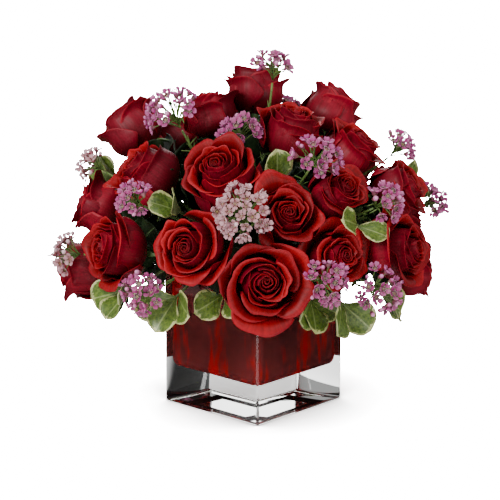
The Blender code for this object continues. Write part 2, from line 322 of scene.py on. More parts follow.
def clear_glass_material():
    s = Shader("clear_vase_glass")
    surface = s.principled(
        Base_Color=(0.975, 0.985, 0.970, 1.0),
        Roughness=0.0,
        IOR=1.50,
        Transmission_Weight=1.0,
    )
    x, y, z = s.node("ShaderNodeSeparateXYZ", {"Vector": s.object_place()}).outputs
    out = s.math("MAXIMUM", s.math("ABSOLUTE", x), s.math("ABSOLUTE", y))
    wobble = s.math("MULTIPLY", s.math("SUBTRACT", s.noise(s.object_place(), 60.0, 2.0), 0.5), 2.0 * MM)
    out = s.math("ADD", out, wobble)
    starts, ends = UNDERSIDE_SHADE_BAND
    band = s.math("MULTIPLY", s.between(out, starts, starts + MM), s.between(out, ends + MM, ends))
    under = s.between(z, FOOT_RECESS + 0.2 * MM, FOOT_RECESS + 0.1 * MM)
    # painted shade: a near-black band on the underside stands in for the shade under the vase, seen through
    # the base
    painted_underside_shade = s.node("ShaderNodeBsdfDiffuse", {"Color": (0.012, 0.004, 0.004, 1.0)}).outputs[0]
    underside_shade_mask = s.math("MULTIPLY", under, band)
    surface = s.node("ShaderNodeMixShader", {0: underside_shade_mask, 1: surface, 2: painted_underside_shade}).outputs[0]
    return s.finish(lets_light_through(s, surface, (0.93, 0.95, 0.92)))


def cup_face_material():
    """The clear glass where the ruby layer is fused to it: nothing is bent or mirrored at this face."""
    s = Shader("fused_glass_face")
    haze = s.noise(s.object_place(), 300.0, 2.0)
    tint = s.mix(haze, (0.97, 0.97, 0.97), (1.0, 1.0, 1.0))
    return s.finish(s.node("ShaderNodeBsdfTransparent", {"Color": tint}).outputs[0])


def ruby_glass_material():
    """The ruby layer, drawn opaque: deep red, browner in places, with brighter upright streaks."""
    s = Shader("ruby_glass")
    place = s.object_place()
    long_way = s.node("ShaderNodeMapping", {"Vector": place, "Scale": (1.0, 1.0, 0.22)}).outputs[0]
    streak = s.between(s.noise(long_way, 75.0, 3.0, 0.55), 0.50, 0.72)
    cloud = s.noise(place, 30.0, 2.0)
    body = s.mix(cloud, (0.064, 0.0120, 0.0120), (0.100, 0.0130, 0.0130))
    body = s.mix(streak, body, (0.26, 0.004, 0.004))
    skin = s.principled(Base_Color=body, Roughness=0.6, Specular_IOR_Level=0.0)
    return s.finish(lets_light_through(s, skin, (0.60, 0.04, 0.04)))


# ---- mesh helpers -----------------------------------------------------------------------------------------
INFO = ("across", "along", "side", "tone", "order")
PINCHED = 1e-6  # the radius of a shell's end rings, in metres


def smooth(x):
    x = np.clip(x, 0.0, 1.0)
    return x * x * (3 - 2 * x)


def unit(v):
    v = np.asarray(v, float)
    return v / np.linalg.norm(v)


class Pieces:
    """Collects closed shells into one object, each with a material and the values its shader reads."""

    def __init__(self):
        self.verts, self.quads, self.info, self.slots, self.count = [], [], [], [], 0

    def add(self, verts, quads, info, slot=0):
        """info is (across, along, side, tone, order) per vertex."""
        self.verts.append(verts)
        self.quads.append(quads + self.count)
        self.info.append(info)
        self.slots.append(np.full(len(quads), slot))
        self.count += len(verts)

    def sheet(self, points, uv, thickness, tone=0.5, order=0.0, slot=0):
        """A closed sheet around a grid of points: two faces and a rim."""
        rows, cols = points.shape[:2]
        du, dv = np.gradient(points, axis=1), np.gradient(points, axis=0)
        normal = np.cross(du, dv)
        normal /= np.maximum(np.linalg.norm(normal, axis=-1, keepdims=True), 1e-12)
        edge = np.minimum(1 - np.abs(uv[..., 0]), 1 - uv[..., 1])
        half = 0.5 * thickness * (0.35 + 0.65 * smooth(edge / 0.15))[..., None]
        faces = (points + normal * half, points - normal * half)
        verts = np.concatenate([face.reshape(-1, 3) for face in faces])
        n = rows * cols
        index = np.arange(n).reshape(rows, cols)
        a, b, c, d = index[:-1, :-1], index[:-1, 1:], index[1:, 1:], index[1:, :-1]
        quads = [np.stack([a, b, c, d], -1).reshape(-1, 4), np.stack([a, d, c, b], -1).reshape(-1, 4) + n]
        loop = np.concatenate([index[0, :], index[1:, -1], index[-1, -2::-1], index[-2:0:-1, 0]])
        after = np.roll(loop, -1)
        quads.append(np.stack([loop, loop + n, after + n, after], -1))
        side = np.repeat([0.0, 1.0], n)
        both = np.tile(uv.reshape(-1, 2), (2, 1))
        info = np.column_stack([both, side, np.full(2 * n, tone), np.full(2 * n, order)])
        self.add(verts, np.concatenate(quads), info, slot)

    def lathe(self, centres, axes, sides, radii, sides_count, along, tone=0.5, slot=0):
        """A closed tube: rings about centres, square to axes, pinched shut at both ends."""
        rings = []
        for centre, axis, side, radius in zip(centres, axes, sides, radii):
            other = np.cross(axis, side)
            a = 2 * np.pi * np.arange(sides_count) / sides_count
            rings.append(centre + radius * (np.cos(a)[:, None] * side + np.sin(a)[:, None] * other))
        rows = len(rings)
        verts = np.concatenate(rings)
        index = np.arange(rows * sides_count).reshape(rows, sides_count)
        after = np.roll(index, -1, axis=1)
        quads = np.stack([index[:-1], after[:-1], after[1:], index[1:]], -1).reshape(-1, 4)
        info = np.zeros((len(verts), 5))
        info[:, 1] = np.repeat(along, sides_count)
        info[:, 3] = tone
        self.add(verts, quads, info, slot)

    def tube(self, points, radii, sides_count=8, tone=0.5, slot=0):
        """A round stem along points, closed at both ends by rings that shrink to almost nothing."""
        points = np.asarray(points, float)
        tangents = np.gradient(points, axis=0)
        tangents /= np.linalg.norm(tangents, axis=1, keepdims=True)
        side = np.cross(tangents[0], (0.0, 0.0, 1.0))
        if np.linalg.norm(side) < 0.1:
            side = np.cross(tangents[0], (1.0, 0.0, 0.0))
        sides = []
        for tangent in tangents:
            side = unit(side - tangent * np.dot(side, tangent))
            sides.append(side)
        radii = np.broadcast_to(radii, (len(points),)).astype(float)
        centres = np.concatenate([points[:1], points, points[-1:]])
        tangents = np.concatenate([tangents[:1], tangents, tangents[-1:]])
        sides = [sides[0], *sides, sides[-1]]
        radii = np.concatenate([[PINCHED], radii, [PINCHED]])
        along = np.concatenate([[0.0], np.linspace(0, 1, len(points)), [1.0]])
        self.lathe(centres, tangents, sides, radii, sides_count, along, tone, slot)

    def turned(self, origin, axis, profile, scale, sides_count=12, tone=0.5, slot=0):
        """A turned form from (height along the axis, radius, along value) rows, the first two in scales."""
        axis = unit(axis)
        side = unit(np.cross(axis, (0.3, 0.5, 0.81)))
        centres = [np.asarray(origin) + axis * (h * scale) for h, _, _ in profile]
        radii = [max(r * scale, PINCHED) for _, r, _ in profile]
        n = len(profile)
        along = np.array([a for _, _, a in profile])
        self.lathe(centres, [axis] * n, [side] * n, radii, sides_count, along, tone, slot)

    def build(self, name, materials):
        verts, quads, info = (np.concatenate(part) for part in (self.verts, self.quads, self.info))
        mesh = bpy.data.meshes.new(name)
        mesh.vertices.add(len(verts))
        mesh.vertices.foreach_set("co", verts.astype(np.float32).ravel())
        mesh.loops.add(quads.size)
        mesh.loops.foreach_set("vertex_index", quads.astype(np.int32).ravel())
        mesh.polygons.add(len(quads))
        mesh.polygons.foreach_set("loop_start", np.arange(0, quads.size, 4, dtype=np.int32))
        mesh.update(calc_edges=True)
        mesh.shade_smooth()
        for made in materials:
            mesh.materials.append(made)
        mesh.polygons.foreach_set("material_index", np.concatenate(self.slots).astype(np.int32))
        for n, column in enumerate(INFO):
            attribute = mesh.attributes.new(column, "FLOAT", "POINT")
            attribute.data.foreach_set("value", info[:, n].astype(np.float32))
        obj = bpy.data.objects.new(name, mesh)
        bpy.context.scene.collection.objects.link(obj)
        return obj


def settle(obj, nodes):
    """The piece stands for these CAD nodes and rides on the one body."""
    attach(obj, "root")
    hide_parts(*nodes)
    return obj


# ---- where the CAD's stems and heads are ------------------------------------------------------------------
class Head:
    """A bloom or cluster read back from its CAD node: axis, middle of its widest ring, and width."""

    def __init__(self, node, apex, half):
        points = np.array([v.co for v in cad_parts[node].data.vertices]) - np.array(MOUTH)
        distance = np.linalg.norm(points, axis=1)
        tip = points[distance.argmax()]
        self.axis = unit(tip)
        depth = points @ self.axis
        across = np.linalg.norm(points - depth[:, None] * self.axis, axis=1)
        self.width = across[depth > 0.6 * distance.max()].max() / half
        self.reach = distance.max() - apex * self.width
        self.middle = np.array(MOUTH) + self.axis * self.reach


def stem_curve(axis, base, steps=26):
    """The CAD's stem route: up from the cup's floor through the mouth and over to the base of the head."""
    axis = np.asarray(axis, float)
    elevation = math.degrees(math.asin(np.clip(axis[2], -1, 1)))
    flat = unit((axis[0], axis[1], 0.0))
    out = (90 - elevation) / LEAN_RANGE
    foot = flat * FOOT_SPREAD * out + np.array((0, 0, RUBY_LOW.z + FOOT_GAP))
    mouth = flat * MOUTH_SPREAD * out + np.array(MOUTH)
    rise = unit(mouth - foot)
    low = max(0.0, math.sin(math.radians(LOW_ANGLE - elevation)))
    over = mouth + rise * (RISE_ABOVE_RIM + LOW_RISE * low)
    reach = np.linalg.norm(base - over)
    back = base - axis * (ARCH * reach) + np.array((0, 0, LOW_BACK * low))
    ahead = mouth + rise * (ARCH * reach + LOW_AHEAD * low)
    start = foot + BEND_START * (mouth - foot)
    points = [foot + (start - foot) * t for t in (0.0, 0.25, 0.5, 0.75)]
    for t in np.linspace(0, 1, steps - len(points)):
        u = 1 - t
        points.append(start * u**3 + ahead * 3 * u * u * t + back * 3 * u * t * t + base * t**3)
    return np.array(points)


def aim(azimuth, elevation):
    a, e = math.radians(azimuth), math.radians(elevation)
    return np.array([math.sin(a) * math.cos(e), -math.cos(a) * math.cos(e), math.sin(e)])


# ---- roses ------------------------------------------------------------------------------------------------
# Along the petals from innermost (0) to outermost (1). Lengths are in bloom widths, angles in degrees.
PETAL_KEYS = (0.0, 0.15, 0.32, 0.52, 0.72, 0.88, 1.0)
LIP_RADIUS = (0.015, 0.050, 0.100, 0.180, 0.275, 0.345, 0.380)
LIP_HEIGHT = (0.150, 0.170, 0.160, 0.115, 0.045, -0.045, -0.140)
BELLY_RADIUS = (0.045, 0.100, 0.165, 0.245, 0.315, 0.360, 0.380)
HALF_ANGLE = (160, 120, 90, 76, 66, 62, 58)
SPIRAL = (0.42, 0.26, 0.17, 0.15, 0.15, 0.14, 0.13)
ROLL = (4, 12, 35, 62, 80, 92, 100)  # how far the lip turns outward
ROLL_RADIUS = (0.016, 0.024, 0.042, 0.068, 0.094, 0.112, 0.120)
SHOULDER = (0.08, 0.12, 0.18, 0.24, 0.30, 0.33, 0.34)  # how far the outline falls towards its sides
LOOSE = (0.5, 0.9, 1.2, 1.5, 1.5, 1.4, 1.3)  # how much chance moves a petal
BASE_RADIUS, BASE_HEIGHT = 0.05, -0.43
UPRIGHT = 0.70  # how far along a petal its lip starts to roll
PETALS = 25
FULL = 1.08  # the petals' spread against the CAD's solid bloom
BUD_SHIFT = (0.020, 0.070)  # how far the tight middle sits off the bloom's axis, least and most


def key(values, t):
    return float(np.interp(t, PETAL_KEYS, values))


def petal_grid(t, turn, rng, openness, bud):
    """One petal's middle surface, in bloom widths, and its (across, along) coordinates."""
    across, along = (23, 17) if t > 0.3 else (26, 12)
    u = np.linspace(-1, 1, across)[None, :]
    v = np.linspace(0, 1, along)[:, None] ** 0.9
    loose = key(LOOSE, t)
    lip_r = key(LIP_RADIUS, t) * (1 + 0.10 * openness * t + 0.055 * loose * rng.uniform(-1, 1))
    lip_z = key(LIP_HEIGHT, t) - 0.05 * openness * t + 0.022 * loose * rng.uniform(-1, 1)
    belly = key(BELLY_RADIUS, t) * (1 + 0.045 * loose * rng.uniform(-1, 1))
    roll_r = key(ROLL_RADIUS, t) * rng.uniform(0.8, 1.25)
    roll = math.radians(key(ROLL, t)) * (1 + 0.2 * openness) * (1 + 0.22 * loose * rng.uniform(-0.8, 0.6))
    half = math.radians(key(HALF_ANGLE, t)) * rng.uniform(0.88, 1.12)
    lopsided = 0.16 * loose * rng.uniform(-1, 1) * u
    reach = v * (1 - key(SHOULDER, t) * np.abs(u) ** 2.4 + lopsided * np.abs(u))
    reach = np.clip(reach, 0, 1.02)
    # the upright part is a cubic from the receptacle to the lip
    s = np.clip(reach / UPRIGHT, 0, 1)
    height = lip_z - BASE_HEIGHT
    route = (
        (BASE_RADIUS * (0.4 + 0.6 * t), BASE_HEIGHT),
        (belly * 0.95, BASE_HEIGHT + 0.06),
        (belly * 1.04, lip_z - 0.38 * height),
        (lip_r, lip_z),
    )
    weights = ((1 - s) ** 3, 3 * s * (1 - s) ** 2, 3 * s * s * (1 - s), s**3)
    r = sum(w * p[0] for w, p in zip(weights, route))
    z = sum(w * p[1] for w, p in zip(weights, route))
    # the lip rolls outward along an arc that starts along the cubic's end
    lean = math.atan2(route[3][0] - route[2][0], route[3][1] - route[2][1])
    tighter = rng.uniform(0.2, 0.7)
    side_roll = 1 + tighter * np.abs(u - 0.3 * rng.uniform(-1, 1)) ** 2
    a = lean + roll * side_roll * np.clip((reach - UPRIGHT) / (1 - UPRIGHT), 0, 1)
    r = r + roll_r / side_roll * (np.cos(lean) - np.cos(a))
    z = z + roll_r / side_roll * (np.sin(a) - np.sin(lean))
    # one side tucks inside its neighbour and the other laps over
    r = r * (1 + key(SPIRAL, t) * u * smooth(reach / 0.5))
    wave = rng.uniform(0, 2 * np.pi, 6)
    lift = smooth((reach - 0.45) / 0.55)
    ripple = 0.011 * np.sin(3.1 * u + wave[0]) + 0.007 * np.sin(6.3 * u + wave[1] + 3 * reach)
    ripple = ripple + 0.0035 * np.sin(13.0 * u + wave[5]) * smooth((reach - 0.8) / 0.2)
    z = z + lift * ripple * (0.4 + 1.1 * t)
    crease = 0.6 * np.sin(7.5 * u + wave[3] + 1.5 * reach) + 0.4 * np.sin(12.0 * u + wave[4])
    crease = 0.0060 * crease + 0.0100 * np.sin(3.6 * u + wave[0] + 2.5 * reach)
    r = r + (0.3 + t) * (0.9 * lift * ripple + crease * smooth((reach - 0.25) / 0.5))
    # a fold runs down the open petals and ends in a soft point
    fold = rng.uniform(-0.35, 0.35)
    point = np.exp(-(((u - fold) / 0.20) ** 2)) * smooth((reach - 0.66) / 0.34)
    r = r + 0.040 * t * point
    z = z + 0.012 * t * point
    r = r - 0.012 * t * np.exp(-(((u - fold) / 0.12) ** 2)) * smooth((reach - 0.2) / 0.3) * (1 - point)
    angle = turn + half * u * (0.42 + 0.58 * smooth(reach / 0.5)) + 0.05 * np.sin(4 * reach + wave[2]) * u
    shift = (1 - t) ** 1.3 * smooth(reach / 0.8)
    x = r * np.cos(angle) + bud[0] * shift
    y = r * np.sin(angle) + bud[1] * shift
    points = np.stack([x, y, z * np.ones_like(r * angle)], axis=-1)
    return points, grid_values(u, v)


def bloom_axes(axis):
    """Two directions square to a head's axis."""
    first = np.cross((0.0, 0.0, 1.0), axis)
    first = unit(first) if np.linalg.norm(first) > 1e-3 else np.array((1.0, 0.0, 0.0))
    return first, np.cross(axis, first)


def spoke(angle, e1, e2):
    """The way out from an axis at an angle about it, and the way across that."""
    return math.cos(angle) * e1 + math.sin(angle) * e2, -math.sin(angle) * e1 + math.cos(angle) * e2


def grid_values(u, v):
    """The (across, along) values of a grid, from one row and one column."""
    return np.stack([u * np.ones_like(v), v * np.ones_like(u)], axis=-1)


def rose(node, number, materials):
    head = Head(node, ROSE_APEX, ROSE_HALF)
    rng = np.random.default_rng(1000 + number)
    openness = rng.uniform(-0.8, 0.8)
    e1, e2 = bloom_axes(head.axis)
    turn = rng.uniform(0, 2 * np.pi)
    pieces = Pieces()
    basis = np.stack([e1, e2, head.axis])
    way = rng.uniform(0, 2 * np.pi)
    bud_at = rng.uniform(*BUD_SHIFT) * np.array([math.cos(way), math.sin(way)])
    for k in range(PETALS):
        t = k / (PETALS - 1)
        turn += GOLDEN + 0.16 * key(LOOSE, t) * rng.uniform(-1, 1)
        points, uv = petal_grid(t, turn, rng, openness, bud_at)
        points = head.middle + (points * head.width * FULL) @ basis
        pieces.sheet(points, uv, (0.45 + 0.20 * t) * MM, rng.uniform(), t)
    base = head.middle + head.axis * (BASE_HEIGHT - 0.02) * head.width
    stem_and_calyx(pieces, head, base, rng)
    obj = pieces.build(f"{node}_petals", materials)
    return settle(obj, [node])


# The hip, from its foot up: height, radius and along value, the first two in bloom widths.
HIP = (
    (-0.11, 0.0, 0),
    (-0.105, 0.036, 0),
    (-0.06, 0.072, 0.3),
    (-0.01, 0.085, 0.5),
    (0.05, 0.070, 0.8),
    (0.06, 0.0, 1),
)
SEPALS = 5
SEPAL_THICK = 0.6 * MM
ROSE_STEM = 2.3 * MM  # radius


def stem_and_calyx(pieces, head, base, rng):
    """The stem, the green hip under the petals and five narrow sepals that spread below them."""
    axis, w = head.axis, head.width
    route = stem_curve(axis, base - axis * 0.09 * w)
    pieces.tube(route, ROSE_STEM, 10, rng.uniform(), 1)
    collar(pieces, route, w, rng)
    pieces.turned(base, axis, HIP, w, 14, rng.uniform(), 1)
    e1, e2 = bloom_axes(axis)
    v, u = np.linspace(0, 1, 9)[:, None], np.linspace(-1, 1, 5)[None, :]
    for k in range(SEPALS):
        a = 2 * np.pi * k / SEPALS + rng.uniform(-0.2, 0.2)
        out, across = spoke(a, e1, e2)
        length, fall = w * rng.uniform(0.34, 0.46), rng.uniform(-0.10, 0.25)
        r = 0.07 * w + length * (v * 0.62 + 0.18 * v * v)
        z = length * (0.42 * v - (0.62 + fall) * v * v)
        half = w * 0.075 * (1 - v) ** 0.7 * (0.35 + 1.3 * np.sqrt(v) * (1 - v))
        lift = 0.25 * half * u * u
        points = base + (r * np.ones_like(u))[..., None] * out + (z + lift)[..., None] * axis
        points = points + (half * u)[..., None] * across
        pieces.sheet(points, grid_values(u, v), SEPAL_THICK, rng.uniform(), 1.0, 1)


COLLAR_LEAVES = 16
COLLAR_START, COLLAR_STEP = 8, 4.2  # mm down the stem to the first leaf, and on to each next
COLLAR_LEAN = (22, 74)  # degrees off the stem
COLLAR_LENGTH = (0.50, 0.68)  # in bloom widths


def collar(pieces, route, width, rng):
    """The rose's own leaves, on the last stretch of stem under the bloom, coloured near-black as painted
    shade that fills the gaps between blooms. Some reach past its outline.
    """
    lengths = np.linalg.norm(np.diff(route, axis=0), axis=1)
    down = np.concatenate([np.cumsum(lengths[::-1])[::-1], [0.0]])
    turn = rng.uniform(0, 2 * np.pi)
    for k in range(COLLAR_LEAVES):
        depth = (COLLAR_START + COLLAR_STEP * k) * MM
        i = int(np.argmin(np.abs(down - depth)))
        i = min(max(i, 1), len(route) - 2)
        tangent = unit(route[i + 1] - route[i - 1])
        e1, e2 = bloom_axes(tangent)
        turn += GOLDEN
        out = spoke(turn, e1, e2)[0]
        lean = math.radians(rng.uniform(*COLLAR_LEAN))
        along = unit(tangent * math.cos(lean) + out * math.sin(lean))
        normal = unit(tangent - along * np.dot(tangent, along))
        leaf(pieces, route[i], along, normal, width * rng.uniform(*COLLAR_LENGTH), rng, 2, ROSE_LEAF)


# ---- waxflower --------------------------------------------------------------------------------------------
WAX_PETALS, WAX_STAMENS = 5, 10
WAX_PETAL_THICK = 0.35 * MM
STEM_NEEDLES = 16
FLOWER_RADIUS, CROWDED_RADIUS, CROWDED = 5.3, 4.5, 30  # mm; a cluster of this many flowers has smaller ones
OPEN_SHARE = 0.80  # the rest are buds
PALE_CLUSTERS = (2, 4, 6)
FULLEST_CLUSTER, FULLEST_FLOWERS = 6, 42
# Turned forms: height, radius and along value, the first two in the radius of the flower, bead or bud.
WAX_CUP = (
    (-0.60, 0.0, 0.0),
    (-0.58, 0.10, 0.0),
    (-0.32, 0.26, 0.3),
    (-0.04, 0.44, 0.5),
    (0.08, 0.46, 0.6),
    (0.12, 0.41, 0.7),
    (-0.04, 0.30, 0.8),
    (0.02, 0.08, 0.9),
    (0.05, 0.0, 1.0),
)
BEAD = ((-1.0, 0.0, 0.0), (-0.6, 0.8, 0.2), (0.2, 0.98, 0.5), (0.8, 0.6, 0.8), (1.0, 0.0, 1.0))
BUD_CUP = (
    (-2.0, 0.0, 0.0),
    (-1.9, 0.3, 0.0),
    (-0.8, 0.8, 0.3),
    (0.0, 0.95, 0.5),
    (0.3, 0.9, 0.55),
    (0.35, 0.0, 0.6),
)
BUD_TIP = (
    (0.0, 0.0, 0.3),
    (0.05, 0.86, 0.4),
    (0.6, 1.0, 0.6),
    (1.2, 0.8, 0.8),
    (1.6, 0.35, 1.0),
    (1.65, 0.0, 1.0),
)


def wax_flower(pieces, centre, axis, radius, rng, openness=1.0):
    """A waxflower: a cup with a dark heart, ten stamen heads and five round, spooned petals."""
    axis = unit(axis)
    e1, e2 = bloom_axes(axis)
    spin, tone = rng.uniform(0, 2 * np.pi), rng.uniform()
    pieces.turned(centre, axis, WAX_CUP, radius, 12, tone, 1)
    u, v = np.linspace(-1, 1, 7)[None, :], np.linspace(0, 1, 7)[:, None]
    for k in range(WAX_PETALS):
        a = spin + 2 * np.pi * k / WAX_PETALS + rng.uniform(-0.08, 0.08)
        out, across = spoke(a, e1, e2)
        rise = rng.uniform(0.10, 0.40) + 0.6 * (1 - openness)
        round_end = np.sqrt(np.clip(1 - (2.0 * v - 1.08) ** 2 * 0.84, 0.02, 1))
        half = radius * 0.41 * round_end * (0.35 + 0.65 * smooth(v / 0.4))
        r = radius * (0.34 + 0.74 * v * math.cos(rise))
        z = radius * (0.03 + 0.80 * v * math.sin(rise) + 0.26 * v * v)
        z = z + 0.45 * half * u * u - 0.12 * radius * v
        points = centre + (r * np.ones_like(u))[..., None] * out + z[..., None] * axis
        points = points + (half * u)[..., None] * across
        pieces.sheet(points, grid_values(u, v), WAX_PETAL_THICK, rng.uniform(), 0.0, 0)
    for k in range(WAX_STAMENS):
        a = spin + 2 * np.pi * (k + 0.5) / WAX_STAMENS
        place = centre + radius * (0.37 * spoke(a, e1, e2)[0] + 0.15 * axis)
        pieces.turned(place, axis, BEAD, 0.045 * radius, 7, rng.uniform(0.4, 1.0), 3)


def needle(pieces, start, direction, length, rng):
    bend = unit(rng.normal(size=3)) * 0.12 * length
    t = np.linspace(0, 1, 5)[:, None]
    points = start + direction * length * t + bend * t * t
    pieces.tube(points, np.array([0.35, 0.55, 0.55, 0.42, 0.12]) * MM, 5, rng.uniform(), 2)


def waxflower(node, number, materials, flowers):
    head = Head(node, CLUSTER_APEX, CLUSTER_HALF)
    rng = np.random.default_rng(2000 + number)
    w, axis = head.width, head.axis
    e1, e2 = bloom_axes(axis)
    pieces = Pieces()
    fork = head.middle - axis * 0.50 * w
    route = stem_curve(axis, fork)
    pieces.tube(route, np.linspace(1.15, 0.85, len(route)) * MM, 7, rng.uniform(), 2)
    for k in range(STEM_NEEDLES):
        t = rng.uniform(0.62, 0.95)
        start = route[int(t * (len(route) - 1))]
        side = unit(rng.normal(size=3))
        needle(pieces, start, unit(axis * 0.8 + side), rng.uniform(8, 13) * MM, rng)
    for k in range(flowers):
        level = 1 - (k + 0.5) / flowers * 1.15
        a = k * GOLDEN + rng.uniform(-0.3, 0.3)
        flat = math.sqrt(max(0.0, 1 - level * level))
        out = flat * (math.cos(a) * e1 + math.sin(a) * e2) + level * axis
        size = rng.uniform(0.86, 1.12)
        place = head.middle + w * (0.50 * size * (out - level * axis) + (0.40 * level * size - 0.04) * axis)
        facing = unit(out + 0.55 * axis + 0.45 * rng.normal(size=3))
        radius = rng.uniform(0.85, 1.12) * (FLOWER_RADIUS if flowers < CROWDED else CROWDED_RADIUS) * MM
        joint = fork + (head.middle - fork) * rng.uniform(0.1, 0.7)
        t = np.linspace(0, 1, 6)[:, None]
        bow = (joint + place - facing * 4 * MM) / 2 + axis * 2 * MM
        stalk = joint * (1 - t) ** 2 + 2 * bow * t * (1 - t) + (place - facing * 0.5 * radius) * t * t
        pieces.tube(stalk, np.linspace(0.6, 0.4, 6) * MM, 5, rng.uniform(), 2)
        if rng.uniform() < OPEN_SHARE:
            wax_flower(pieces, place, facing, radius, rng, rng.uniform(0.4, 1.0))
        else:
            bud(pieces, place, facing, rng)
        if k % 3 == 0:
            needle(pieces, stalk[2], unit(facing + rng.normal(size=3) * 0.7), rng.uniform(7, 11) * MM, rng)
    obj = pieces.build(f"{node}_sprig", materials)
    return settle(obj, [node])


def bud(pieces, place, axis, rng):
    r = rng.uniform(1.5, 2.1) * MM
    pieces.turned(place, axis, BUD_CUP, r, 9, rng.uniform(), 1)
    pieces.turned(place, axis, BUD_TIP, r, 9, rng.uniform(), 0)


# ---- pittosporum ------------------------------------------------------------------------------------------
# A leaf's form: half width at least and at most, where it is widest, and the power that blunts or points it.
PITTOSPORUM_LEAF = (0.36, 0.42, 1.40, 0.45)
ROSE_LEAF = (0.30, 0.36, 0.85, 1.0)
LEAF_THICK = 0.55 * MM
LEAF_SCALE = 1.1  # a drawn pittosporum leaf's length against the CAD's


def leaf(pieces, start, along, normal, length, rng, slot, form):
    """A closed leaf with a folded midrib, a wavy edge and an arch, on a short stalk."""
    least, most, widest, blunt = form
    across = unit(np.cross(along, normal))
    u, v = np.linspace(-1, 1, 11)[None, :], np.linspace(0, 1, 16)[:, None]
    wide = length * rng.uniform(least, most)
    half = wide * np.abs(np.sin(np.pi * v**widest)) ** blunt * (0.25 + 0.75 * smooth(v / 0.5)) + 0.3 * MM
    wave = rng.uniform(0, 2 * np.pi, 3)
    arch = rng.uniform(0.04, 0.16) * length * v * v
    ruffle = np.sin(9 * v + wave[0] + 2 * u) + 0.4 * np.sin(17 * v + wave[1])
    lift = half * (0.16 * u * u + 0.10 * np.abs(u))
    lift = lift + 0.035 * length * ruffle * np.abs(u) ** 1.5 * smooth(v / 0.3)
    twist = rng.uniform(-0.25, 0.25) * v
    sideways = half * u
    points = (
        start
        + (length * v * np.ones_like(u))[..., None] * along
        + (sideways * np.cos(twist))[..., None] * across
        + (lift - arch + sideways * np.sin(twist))[..., None] * normal
    )
    pieces.sheet(points, grid_values(u, v), LEAF_THICK, rng.uniform(), 0.0, slot)


def pittosporum(node, number, materials):
    rng = np.random.default_rng(3000 + number)
    azimuth, elevation, reach = SPRIG_AIM[number - 1]
    axis = aim(azimuth, elevation)
    base = np.array(MOUTH) + axis * reach * MM
    pieces = Pieces()
    route = stem_curve(axis, base)
    pieces.tube(route, np.linspace(1.4, 1.0, len(route)) * MM, 8, rng.uniform(), 1)
    level, upright = bloom_axes(axis)
    for k, (roll, lean, length) in enumerate(SPRIG_LEAVES[number - 1]):
        a, b = math.radians(roll), math.radians(lean)
        out = level * math.cos(a) + upright * math.sin(a)
        along = axis * math.cos(b) + out * math.sin(b)
        normal = unit(axis - along * np.dot(axis, along))
        start = base - axis * ((1.0 + 1.3 * k) * MM)
        leaf(pieces, start, along, normal, LEAF_SCALE * length * MM, rng, 0, PITTOSPORUM_LEAF)
    obj = pieces.build(f"{node}_leaves", materials)
    return settle(obj, [node])


# ---- stage, camera and light ------------------------------------------------------------------------------
CAMERA_AZIMUTH, CAMERA_ELEVATION, CAMERA_DISTANCE = 42.6, 13.2, 1.5
CAMERA_LENS = 134.5
AIM_SIDE, AIM_HEIGHT = -2.8 * MM, 124.8 * MM  # where the camera looks, from the vase's foot
WHITE = (60.0, 60.0, 60.0)  # what the camera sees as pure white
FLOOR_HALF = 12.0
SHADOW_REACH = 110 * MM  # how far from the vase the floor still darkens
LIGHT_TARGET = (0.0, 0.0, 0.16)
LIGHTS = (  # name, place and size in metres, watts
    ("key", (0.1, -1.6, 1.1), 0.7, 33),
    ("fill", (1.7, -0.2, 0.8), 1.0, 13),
    ("top", (0.1, 0.2, 1.7), 1.2, 9),
    ("back", (-1.3, 1.2, 0.9), 1.0, 12),
)
FRONT = (0.68, 0.74)  # the way, +x and -y, to a pale patch painted on the floor that only the glass's edges show: painted highlights on those edges
DARK_PATCH_WAY = (0.68, 0.73)  # the way, from the vase, to a painted dark patch on the floor and sky that only the clear glass shows: painted shade in the glass


def build_stage():
    mesh = bpy.data.meshes.new("floor")
    r = FLOOR_HALF
    mesh.from_pydata([(-r, -r, 0), (r, -r, 0), (r, r, 0), (-r, r, 0)], [], [(0, 1, 2, 3)])
    floor = bpy.data.objects.new("floor", mesh)
    bpy.context.scene.collection.objects.link(floor)
    s = Shader("studio_floor")
    paths = s.node("ShaderNodeLightPath").outputs
    through = paths["Is Transmission Ray"]
    # painted shadow: the floor the camera sees darkens by ambient occlusion near the vase
    painted_shadow_occlusion = s.node("ShaderNodeAmbientOcclusion", {"Distance": SHADOW_REACH}, samples=12).outputs["AO"]
    seen_colour = s.mix(s.math("POWER", painted_shadow_occlusion, 5.0), (0.36, 0.36, 0.38), WHITE)
    x, y, _ = s.node("ShaderNodeSeparateXYZ", {"Vector": s.object_place()}).outputs
    # painted shade: the floor seen through the glass is near-black in this direction
    toward = s.math("ADD", s.math("MULTIPLY", x, DARK_PATCH_WAY[0]), s.math("MULTIPLY", y, DARK_PATCH_WAY[1]))
    far = s.math("SQRT", s.math("ADD", s.math("MULTIPLY", x, x), s.math("MULTIPLY", y, y)))
    painted_dark_patch = s.between(s.math("DIVIDE", toward, far), 0.80, 0.90)
    colour = s.mix(painted_dark_patch, (2.2, 2.2, 2.2), (0.02, 0.02, 0.02))
    colour = s.mix(through, (0.80, 0.80, 0.80), colour)
    # painted reflection: in reflections the floor shows near-black, with a pale patch that paints highlights
    # on the glass's edges
    mirrored = s.math("MULTIPLY", paths["Is Glossy Ray"], s.math("SUBTRACT", 1.0, through))
    facing = s.math("SUBTRACT", s.math("MULTIPLY", x, FRONT[0]), s.math("MULTIPLY", y, FRONT[1]))
    painted_glint_patch = s.between(s.math("DIVIDE", facing, far), 0.70, 0.85)
    colour = s.mix(mirrored, colour, s.mix(painted_glint_patch, (0.03, 0.03, 0.03), (1.8, 1.8, 1.8)))
    colour = s.mix(paths["Is Camera Ray"], colour, seen_colour)
    mesh.materials.append(s.finish(s.node("ShaderNodeBsdfDiffuse", {"Color": colour}).outputs[0]))


